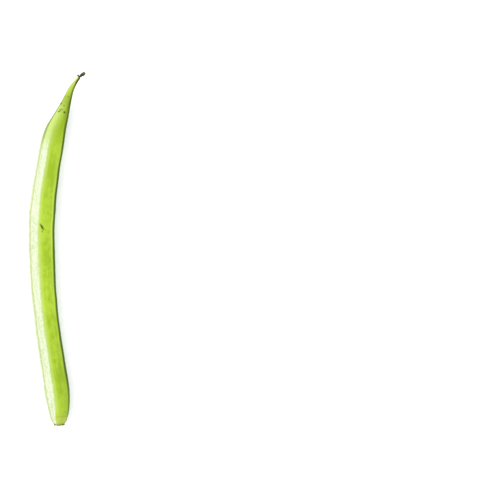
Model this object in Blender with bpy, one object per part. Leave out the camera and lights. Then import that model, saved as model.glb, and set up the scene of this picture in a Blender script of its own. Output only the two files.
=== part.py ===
# One cluster bean, as picked, lying on a surface.
#
# The pod is a closed skin of sections strung along a bowed axis. Each section is a shield: a shallow channel
# between two ribs along the back, nearly flat sides with a faint rib low on each, and a blunt keel below.
# The sections swell over the seeds, close to a blunt end where the stalk broke off, and draw out to a round
# beak. The broken stalk's scar and the withered style at the tip of the beak are separate dry pieces.
#
# Lengths are in metres. X runs along the pod towards its beak, Y to its left, and Z up from the surface.

import math
import random

import bmesh
import bpy
from mathutils import Matrix, Vector

MM = 0.001

# The pod's section at full girth. Its heights are measured from its widest point, and it grows and shrinks round
# its middle.
HALF_THICKNESS = 3.1 * MM
BACK_HEIGHT = 5.6 * MM
KEEL_DEPTH = 3.35 * MM
SECTION_MIDDLE = (BACK_HEIGHT - KEEL_DEPTH) / 2
BEAK_RADIUS = 4.17 * MM  # the round section that the pod's turns into, at the same girth
BACK_SQUARENESS = 3.4  # superellipse exponents: 2 is an ellipse, more is squarer, and less is more pointed
KEEL_SQUARENESS = 1.6

# The relief of the section. Angles run round it from the side that faces up, over the back.
BACK_RIB = 0.34 * MM
BACK_RIB_LEAN = 0.35  # how far a back rib stands out to the side, as a share of its height
BACK_RIB_AT = math.radians(52)
BACK_RIB_WIDTH = math.radians(8)
CHANNEL_DEPTH = 0.55 * MM
CHANNEL_WIDTH = math.radians(30)
SIDE_RIB = 0.10 * MM
SIDE_RIB_AT = math.radians(-6)
SIDE_RIB_WIDTH = math.radians(8)
KEEL_RIB = 0.22 * MM
KEEL_RIB_WIDTH = math.radians(9)

# The axis as (along, left), and the girth as (along, share of the full section).
AXIS = [
    (0.0 * MM, 0.22 * MM),
    (2.0 * MM, 0.2 * MM),
    (6.0 * MM, 0.25 * MM),
    (12.0 * MM, 0.85 * MM),
    (24.0 * MM, 2.65 * MM),
    (36.0 * MM, 4.25 * MM),
    (49.0 * MM, 5.4 * MM),
    (65.0 * MM, 5.8 * MM),
    (77.0 * MM, 4.95 * MM),
    (88.0 * MM, 3.4 * MM),
    (98.0 * MM, 1.5 * MM),
    (104.0 * MM, -0.65 * MM),
    (108.0 * MM, -2.1 * MM),
    (112.0 * MM, -3.55 * MM),
    (114.5 * MM, -5.0 * MM),
    (116.3 * MM, -6.4 * MM),
]
GIRTH = [
    (0.0 * MM, 0.43),
    (1.8 * MM, 0.665),
    (6.0 * MM, 0.88),
    (11.0 * MM, 0.985),
    (24.0 * MM, 0.965),
    (38.0 * MM, 0.965),
    (49.0 * MM, 1.0),
    (61.0 * MM, 1.015),
    (71.0 * MM, 1.02),
    (80.0 * MM, 0.975),
    (88.0 * MM, 0.92),
    (94.0 * MM, 0.915),
    (98.0 * MM, 0.835),
    (101.5 * MM, 0.68),
    (105.0 * MM, 0.51),
    (108.0 * MM, 0.38),
    (112.0 * MM, 0.245),
    (114.5 * MM, 0.175),
    (116.3 * MM, 0.12),
]
POD_END = AXIS[-1][0]
BEAK_STARTS = 92.0 * MM
BEAK_ROUND_BY = 106.0 * MM

# How it lies: rolled so that its back is turned up and to its left, on the face between a side rib and the
# keel. It touches the surface at three places, near the two ends of its bow and at the bow's middle.
ROLL = math.radians(50)
RESTING_PLACES = [15.5 * MM, 55.5 * MM, 88.0 * MM]
AIR_BETWEEN = 0.5 * MM
FLAT_DEPTH = 0.10 * MM  # how much of the underside is pressed flat where it rests
BEAK_RISE = 3.3 * MM  # how far the beak's tip is lifted off the surface
STALK_END_LENGTH = 8.0 * MM  # where it narrows to its blunt end, round a level line

# The seeds, which show as faint swellings.
SEED_COUNT = 9
FIRST_SEED = 12.5 * MM
LAST_SEED = 90.0 * MM
SEED_HALF_LENGTH = 3.2 * MM
SEED_SWELL = 0.042  # share of the thickness
SEED_SWELL_IN_HEIGHT = 0.010
SEED_STRAY = 0.7 * MM
SEED_STRENGTHS = (0.65, 1.25)
SEEDS_DRAWN_FROM = 11

# The scar: a ragged dry ring round the hollow where the stalk broke off.
SCAR_GAP = 0.1 * MM
SCAR_THICKNESS = 0.32 * MM
SCAR_TEAR = 0.08 * MM
SCAR_TEAR_SPREAD = 0.2  # how much wider the ring gets where a tear stands out
SCAR_DRAWN_FROM = 5
# Its profile, from the pod's end over the rim into the hollow: the share of the thickness, of the outline and
# of the tear.
SCAR_PROFILE = [
    (0.0, 0.90, 0.0),
    (0.35, 1.0, 0.3),
    (0.75, 0.97, 0.7),
    (1.0, 0.86, 1.0),
    (0.85, 0.70, 0.6),
    (0.45, 0.42, 0.2),
    (0.55, 0.16, 0.0),
]

# The withered style: a thin neck and a swollen end, bent to the right of the beak's own direction.
STYLE_GAP = 0.1 * MM
STYLE_LENGTH = 2.45 * MM
STYLE_SLOPE = 0.09
STYLE_BENDS = (math.radians(-2), math.radians(-26))  # at its neck and at its end
STYLE_RADII = [
    (0.0, 0.30 * MM),
    (0.12, 0.26 * MM),
    (0.30, 0.42 * MM),
    (0.58, 0.50 * MM),
    (0.88, 0.47 * MM),
    (1.0, 0.36 * MM),
]

# How finely the solids are cut.
HALF_RING_DEGREES = [-90, -81, -66, -48, -30, -17, -6, 5, 17, 30, 41, 47, 52, 57, 64, 76, 90]
STALK_END_STEP = 0.75 * MM
BODY_STEP = 1.5 * MM
BEAK_STEP = 1.0 * MM
DIRECTION_STEP = 0.5 * MM
SCAR_SIDES = 26
STYLE_SIDES = 10
STYLE_RINGS = 15


def clear_scene():
    for obj in list(bpy.data.objects):
        bpy.data.objects.remove(obj)


def smooth(low, high, at):
    """0 at low, 1 at high, and an even S between them."""
    share = min(1.0, max(0.0, (at - low) / (high - low)))
    return share * share * (3 - 2 * share)


def through(points, at):
    """The smooth curve through the points, read at a place along it."""
    last = len(points) - 1
    span = next((k for k in range(last) if at <= points[k + 1][0]), last - 1)

    def slope(k):
        before, after = points[max(k - 1, 0)], points[min(k + 1, last)]
        return (after[1] - before[1]) / (after[0] - before[0])

    (start, low), (end, high) = points[span], points[span + 1]
    step = end - start
    t = (at - start) / step
    return (
        low * (1 + 2 * t) * (1 - t) ** 2
        + slope(span) * step * t * (1 - t) ** 2
        + high * t * t * (3 - 2 * t)
        + slope(span + 1) * step * t * t * (t - 1)
    )


def bump(angle, centre, width):
    """A ridge of height 1 round the section, centred on an angle."""
    turn = (angle - centre + math.pi) % (2 * math.pi) - math.pi
    return math.exp(-((turn / width) ** 2))


def draw_seeds():
    """The place and strength of each seed."""
    draw = random.Random(SEEDS_DRAWN_FROM)
    pitch = (LAST_SEED - FIRST_SEED) / (SEED_COUNT - 1)
    return [
        (FIRST_SEED + k * pitch + draw.uniform(-SEED_STRAY, SEED_STRAY), draw.uniform(*SEED_STRENGTHS))
        for k in range(SEED_COUNT)
    ]


SEEDS = draw_seeds()


def seed_swell(along):
    return sum(strength * math.exp(-(((along - at) / SEED_HALF_LENGTH) ** 2)) for at, strength in SEEDS)


def section(angle, along):
    """A point of the pod's section at a place along it, as (towards the upper side, towards the back)."""
    cos, sin = math.cos(angle), math.sin(angle)
    power = BACK_SQUARENESS if sin > 0 else KEEL_SQUARENESS
    reach = (abs(cos) ** power + abs(sin) ** power) ** (-1 / power)
    side = HALF_THICKNESS * reach * cos
    back = (BACK_HEIGHT if sin > 0 else KEEL_DEPTH) * reach * sin
    for hand in (1, -1):
        seen = angle if hand > 0 else math.pi - angle
        rib = BACK_RIB * bump(seen, BACK_RIB_AT, BACK_RIB_WIDTH)
        side += hand * (rib * BACK_RIB_LEAN + SIDE_RIB * bump(seen, SIDE_RIB_AT, SIDE_RIB_WIDTH))
        back += rib
    back -= CHANNEL_DEPTH * bump(angle, math.pi / 2, CHANNEL_WIDTH)
    back -= KEEL_RIB * bump(angle, -math.pi / 2, KEEL_RIB_WIDTH)
    back -= SECTION_MIDDLE
    side *= 1 + SEED_SWELL * seed_swell(along)
    back *= 1 + SEED_SWELL_IN_HEIGHT * seed_swell(along)
    roundness = smooth(BEAK_STARTS, BEAK_ROUND_BY, along)
    side += (BEAK_RADIUS * cos - side) * roundness
    back += (BEAK_RADIUS * sin - back) * roundness
    girth = through(GIRTH, along)
    return girth * side, girth * back


def rolled(side, back):
    """The same point as the pod lies, as (left, up)."""
    left = back * math.cos(ROLL) - side * math.sin(ROLL)
    up = back * math.sin(ROLL) + side * math.cos(ROLL)
    return left, up


def ring_angles():
    """The angles of a section's points: those of one half, and the same in the other."""
    half = [math.radians(degrees) for degrees in HALF_RING_DEGREES]
    return half + [math.pi - angle for angle in reversed(half[1:-1])]


def rise(along):
    """How far the underside is off the surface: along the beak, and a little between the resting places."""
    height = BEAK_RISE * smooth(BEAK_STARTS, POD_END, along)
    for near, far in zip(RESTING_PLACES, RESTING_PLACES[1:]):
        if near < along < far:
            height += AIR_BETWEEN * math.sin(math.pi * (along - near) / (far - near)) ** 2
    return height


def axis_point(along):
    """The axis's place. Its height puts the underside on the surface, but for its rise and the blunt end."""
    station = max(along, STALK_END_LENGTH)
    drop = max(-rolled(*section(angle, station))[1] for angle in ring_angles())
    swell = HALF_THICKNESS * SEED_SWELL * seed_swell(station) * math.cos(ROLL)
    return Vector((along, through(AXIS, along), drop - swell - FLAT_DEPTH + rise(along)))


def frame_at(along):
    """The axis's place, with its direction, left and up as the X, Y and Z there."""
    before = axis_point(max(along - DIRECTION_STEP, 0.0))
    after = axis_point(min(along + DIRECTION_STEP, POD_END))
    ahead = (after - before).normalized()
    left = Vector((0, 0, 1)).cross(ahead).normalized()
    turned = Matrix((ahead, left, ahead.cross(left))).transposed()
    return Matrix.Translation(axis_point(along)) @ turned.to_4x4()


def pod_ring(along):
    """The section at a place along the axis, with what would sink into the surface pressed flat."""
    frame = frame_at(along)
    ring = [frame @ Vector((0, *rolled(*section(angle, along)))) for angle in ring_angles()]
    for point in ring:
        point.z = max(point.z, 0.0)
    return ring


def stations():
    """The places of the rings: close at the blunt end and on the beak, wider along the body."""
    places = [0.0]
    while places[-1] < POD_END:
        step = BODY_STEP
        if places[-1] < STALK_END_LENGTH:
            step = STALK_END_STEP
        elif places[-1] > BEAK_STARTS:
            step = BEAK_STEP
        places.append(places[-1] + step)
    return places[:-2] + [POD_END]


def skin(name, rings, material, sharp):
    """A closed object whose skin runs from ring to ring, with a face at each end."""
    mesh = bpy.data.meshes.new(name)
    shape = bmesh.new()
    loops = [[shape.verts.new(point) for point in ring] for ring in rings]
    for near, far in zip(loops, loops[1:]):
        for k in range(len(near)):
            after = (k + 1) % len(near)
            shape.faces.new((near[k], near[after], far[after], far[k]))
    shape.faces.new(loops[0])
    shape.faces.new(loops[-1])
    bmesh.ops.recalc_face_normals(shape, faces=shape.faces[:])
    shape.to_mesh(mesh)
    shape.free()
    mesh.shade_smooth()
    mesh.set_sharp_from_angle(angle=sharp)
    mesh.materials.append(material)
    obj = bpy.data.objects.new(name, mesh)
    bpy.context.scene.collection.objects.link(obj)
    return obj


def material(name, colour, roughness):
    made = bpy.data.materials.new(name)
    made.use_nodes = True
    shader = made.node_tree.nodes["Principled BSDF"]
    shader.inputs["Base Color"].default_value = (*colour, 1.0)
    shader.inputs["Roughness"].default_value = roughness
    shader.inputs["Metallic"].default_value = 0.0
    return made


def make_pod():
    green = material("pod_skin", (0.43, 0.62, 0.09), 0.5)
    return skin("pod", [pod_ring(along) for along in stations()], green, math.radians(50))


def make_stalk_scar():
    """Rings outwards from the pod's blunt end, up the ragged rim, over it and down into the hollow."""
    draw = random.Random(SCAR_DRAWN_FROM)
    tears = [SCAR_TEAR * draw.uniform(-1, 1) for _ in range(SCAR_SIDES)]
    rings = []
    for out, outline, tear_share in SCAR_PROFILE:
        ring = []
        for k, tear in enumerate(tears):
            left, up = rolled(*section(2 * math.pi * k / SCAR_SIDES, 0.0))
            torn = tear * tear_share
            wide = outline * (1 + SCAR_TEAR_SPREAD * torn / SCAR_THICKNESS)
            ring.append(Vector((-SCAR_GAP - out * SCAR_THICKNESS - torn, left * wide, up * wide)))
        rings.append(ring)
    scar = skin("stalk_scar", rings, material("scar_brown", (0.24, 0.15, 0.07), 0.85), math.radians(35))
    scar.matrix_basis = frame_at(0.0)
    return scar


def make_withered_style():
    """A bent spindle whose rings follow one another, each a step on from the last."""
    point = Vector((STYLE_GAP, 0, 0))
    rings = []
    for k in range(STYLE_RINGS):
        share = k / (STYLE_RINGS - 1)
        bend = STYLE_BENDS[0] + (STYLE_BENDS[1] - STYLE_BENDS[0]) * share
        ahead = Vector((math.cos(bend), math.sin(bend), STYLE_SLOPE)).normalized()
        left = Vector((0, 0, 1)).cross(ahead).normalized()
        up = ahead.cross(left)
        radius = through(STYLE_RADII, share)
        turns = [2 * math.pi * side / STYLE_SIDES for side in range(STYLE_SIDES)]
        rings.append([point + (left * math.cos(turn) + up * math.sin(turn)) * radius for turn in turns])
        point = point + ahead * (STYLE_LENGTH / (STYLE_RINGS - 1))
    brown = material("style_brown", (0.09, 0.065, 0.03), 0.8)
    style = skin("withered_style", rings, brown, math.radians(60))
    style.matrix_basis = frame_at(POD_END)
    return style


def stand_on_origin(pieces):
    """Hangs the pieces on an empty, which centres the bean's box over the origin and stands it there."""
    corners = [piece.matrix_basis @ vertex.co for piece in pieces for vertex in piece.data.vertices]
    low = [min(corner[axis] for corner in corners) for axis in range(3)]
    high = [max(corner[axis] for corner in corners) for axis in range(3)]
    bean = bpy.data.objects.new("cluster_bean", None)
    bpy.context.scene.collection.objects.link(bean)
    bean.location = (-(low[0] + high[0]) / 2, -(low[1] + high[1]) / 2, -low[2])
    for piece in pieces:
        piece.parent = bean


clear_scene()
stand_on_origin([make_pod(), make_stalk_scar(), make_withered_style()])
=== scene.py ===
# %% [markdown]
# A cluster bean, dressed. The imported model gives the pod's true size and place in three plain solids: the
# green pod, the dry scar where its stalk broke off, and the withered style at the tip of its beak. This
# lesson builds a finer piece over each. Most of it is Geometry Nodes, because a pod is one section swept
# along one line, and its down is one hair repeated thousands of times.

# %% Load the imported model
import math
import random

import bmesh
import bpy
from mathutils import Matrix, Vector
from mathutils.bvhtree import BVHTree


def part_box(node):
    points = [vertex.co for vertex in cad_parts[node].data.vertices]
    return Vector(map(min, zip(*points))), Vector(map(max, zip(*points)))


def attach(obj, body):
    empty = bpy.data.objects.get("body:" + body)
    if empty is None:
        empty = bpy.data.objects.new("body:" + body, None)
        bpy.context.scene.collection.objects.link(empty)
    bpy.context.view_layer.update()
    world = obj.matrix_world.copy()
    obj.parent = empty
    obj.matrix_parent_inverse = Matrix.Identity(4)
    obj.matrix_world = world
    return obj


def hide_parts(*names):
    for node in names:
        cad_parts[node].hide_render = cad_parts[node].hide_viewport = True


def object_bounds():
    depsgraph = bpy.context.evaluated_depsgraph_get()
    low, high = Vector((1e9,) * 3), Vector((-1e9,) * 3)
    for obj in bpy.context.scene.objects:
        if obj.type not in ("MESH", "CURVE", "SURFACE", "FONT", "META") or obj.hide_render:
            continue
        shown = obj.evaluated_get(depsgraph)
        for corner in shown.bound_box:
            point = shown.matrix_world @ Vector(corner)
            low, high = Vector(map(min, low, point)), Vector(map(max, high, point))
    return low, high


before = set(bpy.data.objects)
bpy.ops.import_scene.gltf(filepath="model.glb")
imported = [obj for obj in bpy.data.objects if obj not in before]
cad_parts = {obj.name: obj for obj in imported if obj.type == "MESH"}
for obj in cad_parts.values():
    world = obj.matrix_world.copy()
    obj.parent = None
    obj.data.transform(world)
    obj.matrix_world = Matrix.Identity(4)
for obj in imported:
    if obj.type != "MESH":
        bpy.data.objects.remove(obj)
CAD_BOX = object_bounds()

MM = 0.001
box_in_mm = [[round(x / MM, 1) for x in corner] for corner in CAD_BOX]
print("solids:", sorted(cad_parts), "box in mm:", box_in_mm)

# %% [markdown]
# The photograph looks straight down from about half a metre, with the pod at its left. A long lens at a
# measured height puts the pod on the same pixels, where a pixel is 0.335 mm. The camera comes first,
# because the marks on the skin are later placed through it. It could be nudged by eye, but a pixel's size
# and the picture's middle place it at once.

# %% The camera
PHOTO_PIXELS = 500
PIXEL = 0.335 * MM
LENS = 100.0
SENSOR = 36.0
POD_LEVEL = 4.0 * MM  # the height at which a pixel has that size
PHOTO_MIDDLE = Vector((-0.47 * MM, -64.54 * MM, POD_LEVEL))


def placed(name, data):
    """A new object that holds the data, linked into the scene."""
    obj = bpy.data.objects.new(name, data)
    bpy.context.scene.collection.objects.link(obj)
    return obj


camera = placed("camera", bpy.data.cameras.new("camera"))
camera.data.lens = LENS
camera.data.sensor_width = SENSOR
camera.data.clip_start = 10 * MM
camera.location = PHOTO_MIDDLE + Vector((0, 0, LENS / SENSOR * PHOTO_PIXELS * PIXEL))
camera.rotation_euler = (0, 0, -math.pi / 2)  # the picture's up is +X, and its left is +Y
bpy.context.scene.camera = camera
print("camera", round(camera.location.z / MM), "mm above the surface")

# %% [markdown]
# Three small formulas of shape: an even S from 0 to 1, a smooth curve through a few chosen points, and a
# bell-shaped bump. With them a stout body, a fine beak, two ribs and nine seeds need only a few numbers
# each.

# %% Formulas for shapes


def smooth(low, high, at):
    """0 at low, 1 at high, and an even S between them."""
    share = min(1.0, max(0.0, (at - low) / (high - low)))
    return share * share * (3 - 2 * share)


def through(points, at):
    """The smooth curve through the points, read at a place along it."""
    last = len(points) - 1
    span = next((k for k in range(last) if at <= points[k + 1][0]), last - 1)

    def slope(k):
        before, after = points[max(k - 1, 0)], points[min(k + 1, last)]
        return (after[1] - before[1]) / (after[0] - before[0])

    (start, low), (end, high) = points[span], points[span + 1]
    step = end - start
    t = (at - start) / step
    return (
        low * (1 + 2 * t) * (1 - t) ** 2
        + slope(span) * step * t * (1 - t) ** 2
        + high * t * t * (3 - 2 * t)
        + slope(span + 1) * step * t * t * (t - 1)
    )


def bell(at, centre, width):
    return math.exp(-(((at - centre) / width) ** 2))


def bump(angle, centre, width):
    """A ridge of height 1 round the section, centred on an angle."""
    return bell((angle - centre + math.pi) % (2 * math.pi) - math.pi, 0.0, width)

# %% [markdown]
# The pod's line, from its broken stalk to the tip of its beak, seen from above, and how stout it is along
# the way. These are the same few points that the solid model was drawn from. The seeds are drawn with the
# same fixed seed, so their swellings fall on the same places. A curve drawn by hand could hold them too,
# but a list can be read, measured and repeated.

# %% The pod's line, girth and seeds
AXIS = [
    (0.0, 0.22), (2.0, 0.2), (6.0, 0.25), (12.0, 0.85), (24.0, 2.65), (36.0, 4.25), (49.0, 5.4),
    (65.0, 5.8), (77.0, 4.95), (88.0, 3.4), (98.0, 1.5), (104.0, -0.65), (108.0, -2.1), (112.0, -3.55),
    (114.5, -5.0), (116.3, -6.4),
]  # (along, left) in mm
GIRTH = [
    (0.0, 0.43), (1.8, 0.665), (6.0, 0.88), (11.0, 0.985), (24.0, 0.965), (38.0, 0.965), (49.0, 1.0),
    (61.0, 1.015), (71.0, 1.02), (80.0, 0.975), (88.0, 0.92), (94.0, 0.915), (98.0, 0.835), (101.5, 0.68),
    (105.0, 0.51), (108.0, 0.38), (112.0, 0.245), (114.5, 0.175), (116.3, 0.12),
]  # (along in mm, share of the full section)
POD_END = AXIS[-1][0]
BEAK_STARTS = 92.0
BEAK_ROUND_BY = 106.0
SEED_COUNT = 9
FIRST_SEED = 12.5
LAST_SEED = 90.0
SEED_HALF_LENGTH = 3.2
SEED_STRAY = 0.7
SEED_STRENGTHS = (0.65, 1.25)
SEEDS_DRAWN_FROM = 11

draw = random.Random(SEEDS_DRAWN_FROM)
seed_pitch = (LAST_SEED - FIRST_SEED) / (SEED_COUNT - 1)
SEEDS = [
    (FIRST_SEED + k * seed_pitch + draw.uniform(-SEED_STRAY, SEED_STRAY), draw.uniform(*SEED_STRENGTHS))
    for k in range(SEED_COUNT)
]


def seed_swell(along):
    return sum(strength * bell(along, at, SEED_HALF_LENGTH) for at, strength in SEEDS)


print("seeds at", [round(at) for at, _ in SEEDS], "mm")

# %% [markdown]
# The pod's section is a shield. Its back is a shallow channel between two ribs, its sides are nearly flat
# with a faint rib low on each, and it narrows to a blunt keel. A superellipse gives the shield's body, and
# bumps raise the ribs. Heights are counted from the shield's middle, so that it grows and shrinks round it.
# In the beak the shield turns into a circle. It could be drawn point by point, but with a formula each rib
# keeps a height and a width of its own to turn.

# %% The section
HALF_THICKNESS = 3.1
BACK_HEIGHT = 5.6
KEEL_DEPTH = 3.35
SECTION_MIDDLE = (BACK_HEIGHT - KEEL_DEPTH) / 2  # above the widest place
BEAK_RADIUS = 4.17
BACK_SQUARENESS = 3.4
KEEL_SQUARENESS = 1.6
BACK_RIB = 0.34
BACK_RIB_LEAN = 0.35
BACK_RIB_AT = math.radians(52)
BACK_RIB_WIDTH = math.radians(8)
CHANNEL_DEPTH = 0.55
CHANNEL_WIDTH = math.radians(30)
SIDE_RIB = 0.10
SIDE_RIB_AT = math.radians(-6)
SIDE_RIB_WIDTH = math.radians(8)
KEEL_RIB = 0.22
KEEL_RIB_WIDTH = math.radians(9)


def shield(angle):
    """The pod's full section in mm, as (towards the upper side, towards the back)."""
    cos, sin = math.cos(angle), math.sin(angle)
    power = BACK_SQUARENESS if sin > 0 else KEEL_SQUARENESS
    reach = (abs(cos) ** power + abs(sin) ** power) ** (-1 / power)
    side = HALF_THICKNESS * reach * cos
    back = (BACK_HEIGHT if sin > 0 else KEEL_DEPTH) * reach * sin
    for hand in (1, -1):
        seen = angle if hand > 0 else math.pi - angle
        rib = BACK_RIB * bump(seen, BACK_RIB_AT, BACK_RIB_WIDTH)
        side += hand * (rib * BACK_RIB_LEAN + SIDE_RIB * bump(seen, SIDE_RIB_AT, SIDE_RIB_WIDTH))
        back += rib
    back -= CHANNEL_DEPTH * bump(angle, math.pi / 2, CHANNEL_WIDTH)
    back -= KEEL_RIB * bump(angle, -math.pi / 2, KEEL_RIB_WIDTH)
    return side, back - SECTION_MIDDLE


ROUND_SIDES = 144


def turns(count):
    """Angles that stand evenly round a circle."""
    return [2 * math.pi * k / count for k in range(count)]


ring_turns = turns(ROUND_SIDES)
full_section = [shield(turn) for turn in ring_turns]
print("section", ROUND_SIDES, "points,", round(2 * max(side for side, _ in full_section), 1), "mm thick")

# %% [markdown]
# A thread is a string of points that carries facts: each point of the pod's line knows how stout the pod is
# there and which way is left and up, and each point of the section knows its place on the shield and on the
# circle. Sweeping one along the other gives every point of the skin both sets of facts. Blender keeps them
# as attributes.

# %% Threads
VECTOR = "FLOAT_VECTOR"


def thread(name, points, closed, **facts):
    """A mesh of edges through the points. The facts become attributes of its points."""
    count = len(points)
    edges = [(k, (k + 1) % count) for k in range(count if closed else count - 1)]
    mesh = bpy.data.meshes.new(name)
    mesh.from_pydata(points, edges, [])
    for fact, values in facts.items():
        if isinstance(values[0], (int, float)):
            mesh.attributes.new(fact, "FLOAT", "POINT").data.foreach_set("value", values)
        else:
            layer = mesh.attributes.new(fact, VECTOR, "POINT")
            layer.data.foreach_set("vector", [x for value in values for x in value])
    return mesh


def helper_object(mesh):
    """Puts a mesh in the scene for a tree to read. It never renders, and it leaves at the end."""
    obj = placed(mesh.name, mesh)
    obj.hide_render = True
    helpers.append(obj)
    return obj


helpers = []

# %% [markdown]
# Node trees are written here as formulas. A Flow stands for what comes out of a node's socket, and
# arithmetic on it adds the Math nodes. The same class serves the shapes, in Geometry Nodes, and the
# finishes, in shader nodes. The nodes could be placed by hand, but a hundred nodes and their links are
# easier to read as formulas.

# %% Trees written as formulas


def feed(node, feeds):
    """Links or sets the node's inputs, which are given by name or in order."""
    for place, value in feeds.items() if isinstance(feeds, dict) else enumerate(feeds):
        if isinstance(value, Flow):
            node.id_data.links.new(value.socket, node.inputs[place])
        else:
            node.inputs[place].default_value = value


def add(tree, kind, feeds, output=0, **options):
    """Adds a node, sets its options, feeds its inputs, and returns its output."""
    node = tree.nodes.new(kind)
    for option, value in options.items():
        setattr(node, option, value)
    feed(node, feeds)
    return Flow(tree, node.outputs[output])


class Flow:
    """What comes out of a socket. Arithmetic on it adds Math nodes to its tree."""

    def __init__(self, tree, socket):
        self.tree = tree
        self.socket = socket

    def math(self, operation, *others):
        return add(self.tree, "ShaderNodeMath", [self, *others], operation=operation)

    def vector(self, operation, *others):
        return add(self.tree, "ShaderNodeVectorMath", [self, *others], operation=operation)

    def scaled(self, factor):
        return add(self.tree, "ShaderNodeVectorMath", {"Vector": self, "Scale": factor}, operation="SCALE")

    def length(self):
        return add(self.tree, "ShaderNodeVectorMath", [self], output="Value", operation="LENGTH")

    def part(self, axis):
        return add(self.tree, "ShaderNodeSeparateXYZ", [self], output=axis)

    def ramp(self, low, high, start=0.0, end=1.0):
        """An even S from start, where this is low, to end, where it is high."""
        feeds = {"Value": self, "From Min": low, "From Max": high, "To Min": start, "To Max": end}
        return add(self.tree, "ShaderNodeMapRange", feeds, interpolation_type="SMOOTHSTEP")

    def __add__(self, other):
        return self.math("ADD", other)

    def __sub__(self, other):
        return self.math("SUBTRACT", other)

    def __mul__(self, other):
        return self.math("MULTIPLY", other)

    def inverse(self):
        """1 where this is 0, and 0 where it is 1."""
        return self * -1.0 + 1.0


def noise(place, blotches, detail=1.0, roughness=0.5):
    """Smooth noise round 0, with about that many blotches to one unit of the place."""
    feeds = {"Vector": place, "Scale": blotches, "Detail": detail, "Roughness": roughness}
    return add(place.tree, "ShaderNodeTexNoise", feeds) - 0.5


# %% [markdown]
# Two helpers start a Geometry Nodes tree and run it. Each tree's sizes are named inputs, so a reader can
# open it and turn them. Its result becomes a plain mesh, because the export keeps no modifiers and no
# instances.

# %% Starting and running a tree


def start_tree(name, **inputs):
    """A new tree, and its inputs as a dict of flows. Each input is given with the kind of its socket."""
    tree = bpy.data.node_groups.new(name, "GeometryNodeTree")
    tree.interface.new_socket("Geometry", in_out="OUTPUT", socket_type="NodeSocketGeometry")
    for label, kind in {"Geometry": "Geometry", **inputs}.items():
        tree.interface.new_socket(label, in_out="INPUT", socket_type="NodeSocket" + kind)
    entry = tree.nodes.new("NodeGroupInput")
    return tree, {socket.name: Flow(tree, socket) for socket in entry.outputs if socket.name}


def end_tree(tree, geometry, material):
    """The end that every tree here has: real geometry, smooth shading, and its material."""
    real = add(tree, "GeometryNodeRealizeInstances", [geometry])
    shaded = add(tree, "GeometryNodeSetShadeSmooth", {"Geometry": real, "Shade Smooth": True})
    painted = add(tree, "GeometryNodeSetMaterial", {"Geometry": shaded, "Material": material})
    tree.links.new(painted.socket, tree.nodes.new("NodeGroupOutput").inputs[0])


def run_tree(name, tree, mesh, **values):
    """Runs the tree on a mesh, and returns an object at the origin with the result as a plain mesh."""
    obj = placed(name, mesh)
    modifier = obj.modifiers.new(tree.name, "NODES")
    modifier.node_group = tree
    for item in tree.interface.items_tree:
        if item.in_out == "INPUT" and item.name in values:
            modifier[item.identifier] = values[item.name]
    bpy.context.view_layer.update()
    result = bpy.data.meshes.new_from_object(obj.evaluated_get(bpy.context.evaluated_depsgraph_get()))
    obj.modifiers.remove(modifier)
    obj.data = result
    result.name = name
    triangles = sum(len(face.vertices) - 2 for face in result.polygons)
    print(name, len(result.vertices), "points,", triangles, "triangles")
    return obj


# %% [markdown]
# The sweep. Curve to Mesh joins the two threads into a tube with closed ends. The tube's own form doesn't
# matter, because each of its points now carries the facts of its station and of its place in the section. A
# curve's own bevel could do this much, but it can't change the section on the way from the stalk to the
# beak.

# %% The sweeping tree: two threads become a tube
sweep, given = start_tree(
    "sweep_along",
    section="Object",
    roll="Float",
    swell_in_thickness="Float",
    swell_in_height="Float",
    pebbles_per_mm="Float",
    pebble_depth="Float",
    fibres_per_mm="Float",
    fibre_depth="Float",
    sags_per_mm="Float",
    sag_depth="Float",
    surface="Float",
    material="Material",
)


def fact(name, kind="FLOAT"):
    """A fact that the tube's points carry."""
    return add(sweep, "GeometryNodeInputNamedAttribute", {"Name": name}, data_type=kind)


rail_curve = add(sweep, "GeometryNodeMeshToCurve", [given["Geometry"]])
section_mesh = add(sweep, "GeometryNodeObjectInfo", {"Object": given["section"]}, output="Geometry")
section_curve = add(sweep, "GeometryNodeMeshToCurve", [section_mesh])
tube_feeds = {"Curve": rail_curve, "Profile Curve": section_curve, "Fill Caps": True}
tube = add(sweep, "GeometryNodeCurveToMesh", tube_feeds)
print("tube:", len(sweep.nodes), "nodes")

# %% [markdown]
# Set Position puts each point where its facts say. It goes from the shield to the circle by the roundness,
# swells over the seeds, is scaled by the girth, and turns with the roll. Its place in a straight, unrolled
# pod is stored as one more fact, because the relief and the colours are laid out along that. Curve to Mesh
# has a way of its own to turn a section. These facts repeat the solid's way, so the two forms agree.

# %% The sweeping tree: each point to its place
on_shield = fact("shield", VECTOR)
on_circle = fact("circle", VECTOR)
full_side = on_shield.part("X") * (fact("swell") * given["swell_in_thickness"] + 1.0)
full_back = on_shield.part("Y") * (fact("swell") * given["swell_in_height"] + 1.0)
to_side = (full_side + (on_circle.part("X") - full_side) * fact("roundness")) * fact("girth")
to_back = (full_back + (on_circle.part("Y") - full_back) * fact("roundness")) * fact("girth")
cos_roll = given["roll"].math("COSINE")
sin_roll = given["roll"].math("SINE")
to_left = fact("left", VECTOR).scaled((to_back * cos_roll - to_side * sin_roll) * MM)
to_top = fact("up", VECTOR).scaled((to_back * sin_roll + to_side * cos_roll) * MM)
swept_to = fact("centre", VECTOR).vector("ADD", to_left).vector("ADD", to_top)
straight = add(sweep, "ShaderNodeCombineXYZ", [fact("along"), to_side, to_back])
keep_straight = {"Geometry": tube, "Name": "straight", "Value": straight}
skin = add(sweep, "GeometryNodeStoreNamedAttribute", keep_straight, data_type=VECTOR)
skin = add(sweep, "GeometryNodeSetPosition", {"Geometry": skin, "Position": swept_to})
print("with its places:", len(sweep.nodes), "nodes")

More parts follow.
